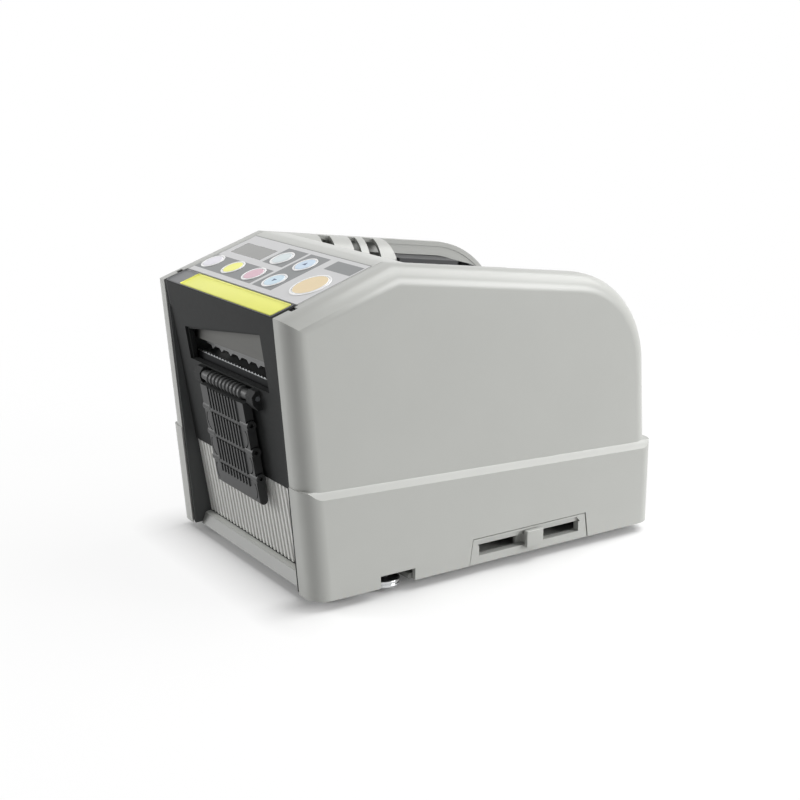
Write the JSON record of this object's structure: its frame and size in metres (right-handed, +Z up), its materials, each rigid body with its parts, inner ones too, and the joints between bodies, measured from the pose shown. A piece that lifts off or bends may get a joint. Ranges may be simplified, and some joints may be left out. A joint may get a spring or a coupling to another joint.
{
  "type": "electric tape dispenser",
  "caption": "Electric desk tape dispenser with grey side shells, black hinged front, linked tape tongue, sloping keypad and an open tape well behind.",
  "frame": {"origin": "on the table, under the middle of the machine's box", "axes": "+Z up, -Y towards the operator where the tape comes out, +X to the operator's right"},
  "size_m": [0.1424, 0.2097, 0.1504],
  "materials": {
    "body_grey": "satin moulded plastic, light grey",
    "pale_grey": "satin moulded plastic, pale grey",
    "panel_grey": "satin moulded plastic, mid grey",
    "cover_black": "gloss moulded plastic, black",
    "deep_black": "matte moulded plastic, black",
    "liner_grey": "matte moulded plastic, dark grey",
    "rubber": "dull rubber",
    "steel": "brushed sheet steel",
    "blade_steel": "ground blade steel",
    "brass": "turned brass",
    "gear_white": "natural acetal",
    "chrome": "polished chrome",
    "overlay": "printed film",
    "display": "tinted window",
    "board_green": "circuit board",
    "motor_grey": "drawn steel can",
    "key_lilac": "printed film, lilac",
    "key_yellow": "printed film, yellow",
    "key_pink": "printed film, pink",
    "key_pale": "printed film, pale grey",
    "key_blue": "printed film, pale blue",
    "key_tan": "printed film, tan"
  },
  "bodies": {
    "body": {"base_tray": "body_grey", "rubber_feet": "rubber", "housing_screws": "steel", "rear_panel": "body_grey", "right_shell": "body_grey", "left_shell": "body_grey", "ribbed_panel": "panel_grey", "panel_frame": "body_grey", "control_overlay": "overlay", "display_window": "display", "display_module": "deep_black", "control_board": "board_green", "top_deck": "body_grey", "well_liner": "liner_grey", "reel_brackets": "steel", "chassis_right": "steel", "chassis_left": "steel", "tie_bars": "steel", "roller_bushes": "brass", "idler_stud": "steel", "feed_motor": "motor_grey", "lower_guide": "steel", "upper_guide": "liner_grey", "fixed_blade": "blade_steel", "cutter_frame": "deep_black", "cutter_motor": "motor_grey", "main_board": "board_green", "slide_plate": "pale_grey", "thumb_bracket": "body_grey", "power_inlet": "deep_black", "switch_bezel": "deep_black"},
    "front_cover": {"front_cover": "cover_black", "tongue_pin": "steel"},
    "tongue_1": {"tongue_link_1": "cover_black"},
    "tongue_2": {"tongue_link_2": "cover_black"},
    "tongue_3": {"tongue_link_3": "cover_black"},
    "tongue_4": {"tongue_link_4": "cover_black"},
    "key_lilac_body": {"key_lilac": "key_lilac"},
    "key_yellow_body": {"key_yellow": "key_yellow"},
    "key_pink_body": {"key_pink": "key_pink"},
    "key_pale_body": {"key_pale": "key_pale"},
    "key_blue_rear_body": {"key_blue_rear": "key_blue"},
    "key_blue_front_body": {"key_blue_front": "key_blue"},
    "start_key_body": {"start_key": "key_tan"},
    "slide_knob_body": {"slide_knob": "pale_grey"},
    "thumb_wheel_body": {"thumb_wheel": "chrome"},
    "feed_body": {"feed_shaft": "steel", "feed_roller": "rubber", "feed_gear": "gear_white"},
    "pinch_body": {"pinch_shaft": "steel", "pinch_roller": "gear_white"},
    "idler_body": {"idler_gear": "gear_white"},
    "motor_pinion_body": {"motor_pinion": "brass"},
    "cutter_pinion_body": {"cutter_pinion": "brass"},
    "blade_body": {"blade_carrier": "liner_grey", "moving_blade": "blade_steel"},
    "reel_axle_body": {"reel_shaft": "steel"},
    "reel_body": {"reel_hub_right": "gear_white", "reel_hub_left": "gear_white"},
    "rocker_body": {"power_rocker": "deep_black"}
  },
  "joints": [
    {"name": "cover_hinge", "type": "hinge", "parent": "body", "child": "front_cover", "pos_m": [0, -0.09459, 0.13257], "axis": [-1, 0, 0], "range_deg": [0, 70]},
    {"name": "tongue_swing", "type": "hinge", "parent": "front_cover", "child": "tongue_1", "pos_m": [0.001, -0.09968, 0.09036], "axis": [-1, 0, 0], "range_deg": [0, 80]},
    {"name": "link_2_bend", "type": "hinge", "parent": "tongue_1", "child": "tongue_2", "pos_m": [0.001, -0.09954, 0.07601], "axis": [-1, 0, 0], "range_deg": [0, 30]},
    {"name": "link_3_bend", "type": "hinge", "parent": "tongue_2", "child": "tongue_3", "pos_m": [0.001, -0.0975, 0.06317], "axis": [-1, 0, 0], "range_deg": [0, 30]},
    {"name": "link_4_bend", "type": "hinge", "parent": "tongue_3", "child": "tongue_4", "pos_m": [0.001, -0.09547, 0.05033], "axis": [-1, 0, 0], "range_deg": [0, 30]},
    {"name": "key_lilac_press", "type": "slide", "parent": "body", "child": "key_lilac_body", "axis": [0, 0.3289, -0.9444], "range_m": [0, 0.0004], "stiffness_N_per_m": 1500},
    {"name": "key_yellow_press", "type": "slide", "parent": "body", "child": "key_yellow_body", "axis": [0, 0.3289, -0.9444], "range_m": [0, 0.0004], "stiffness_N_per_m": 1500},
    {"name": "key_pink_press", "type": "slide", "parent": "body", "child": "key_pink_body", "axis": [0, 0.3289, -0.9444], "range_m": [0, 0.0004], "stiffness_N_per_m": 1500},
    {"name": "key_pale_press", "type": "slide", "parent": "body", "child": "key_pale_body", "axis": [0, 0.3289, -0.9444], "range_m": [0, 0.0004], "stiffness_N_per_m": 1500},
    {"name": "key_blue_rear_press", "type": "slide", "parent": "body", "child": "key_blue_rear_body", "axis": [0, 0.3289, -0.9444], "range_m": [0, 0.0004], "stiffness_N_per_m": 1500},
    {"name": "key_blue_front_press", "type": "slide", "parent": "body", "child": "key_blue_front_body", "axis": [0, 0.3289, -0.9444], "range_m": [0, 0.0004], "stiffness_N_per_m": 1500},
    {"name": "start_key_press", "type": "slide", "parent": "body", "child": "start_key_body", "axis": [0, 0.3289, -0.9444], "range_m": [0, 0.0004], "stiffness_N_per_m": 1500},
    {"name": "slide_move", "type": "slide", "parent": "body", "child": "slide_knob_body", "axis": [0, 1, 0], "range_m": [-0.027, 0.0245]},
    {"name": "thumb_turn", "type": "hinge", "parent": "body", "child": "thumb_wheel_body", "pos_m": [0.0593, -0.05215, 0.006], "axis": [0, 0, 1], "range_deg": [-140, 140]},
    {"name": "feed_spin", "type": "hinge", "parent": "body", "child": "feed_body", "pos_m": [0, -0.06415, 0.08935], "axis": [1, 0, 0], "continuous": true},
    {"name": "pinch_spin", "type": "hinge", "parent": "body", "child": "pinch_body", "pos_m": [0, -0.06415, 0.10765], "axis": [1, 0, 0], "continuous": true},
    {"name": "idler_spin", "type": "hinge", "parent": "body", "child": "idler_body", "pos_m": [0.041, -0.04709, 0.0598], "axis": [1, 0, 0], "continuous": true},
    {"name": "motor_spin", "type": "hinge", "parent": "body", "child": "motor_pinion_body", "pos_m": [0.041, -0.0518, 0.03309], "axis": [1, 0, 0], "continuous": true},
    {"name": "blade_drop", "type": "slide", "parent": "body", "child": "blade_body", "axis": [0, 0, -1], "range_m": [0, 0.008]},
    {"name": "cutter_spin", "type": "hinge", "parent": "body", "child": "cutter_pinion_body", "pos_m": [-0.0445, -0.08483, 0.1165], "axis": [1, 0, 0], "range_deg": [0, 77]},
    {"name": "reel_lift", "type": "slide", "parent": "body", "child": "reel_axle_body", "axis": [0, 0, 1], "range_m": [0, 0.09]},
    {"name": "reel_spin", "type": "hinge", "parent": "reel_axle_body", "child": "reel_body", "pos_m": [0, 0.05985, 0.08], "axis": [1, 0, 0], "continuous": true},
    {"name": "rocker_tip", "type": "hinge", "parent": "body", "child": "rocker_body", "pos_m": [-0.028, 0.09975, 0.0236], "axis": [-1, 0, 0], "range_deg": [0, 18]}
  ],
  "couplings": [
    {"joint": "pinch_spin", "follows": "feed_spin", "ratio": -1.25},
    {"joint": "idler_spin", "follows": "feed_spin", "ratio": -0.7},
    {"joint": "motor_spin", "follows": "feed_spin", "ratio": 2},
    {"joint": "cutter_spin", "follows": "blade_drop", "rad_per_m": 166.67}
  ]
}
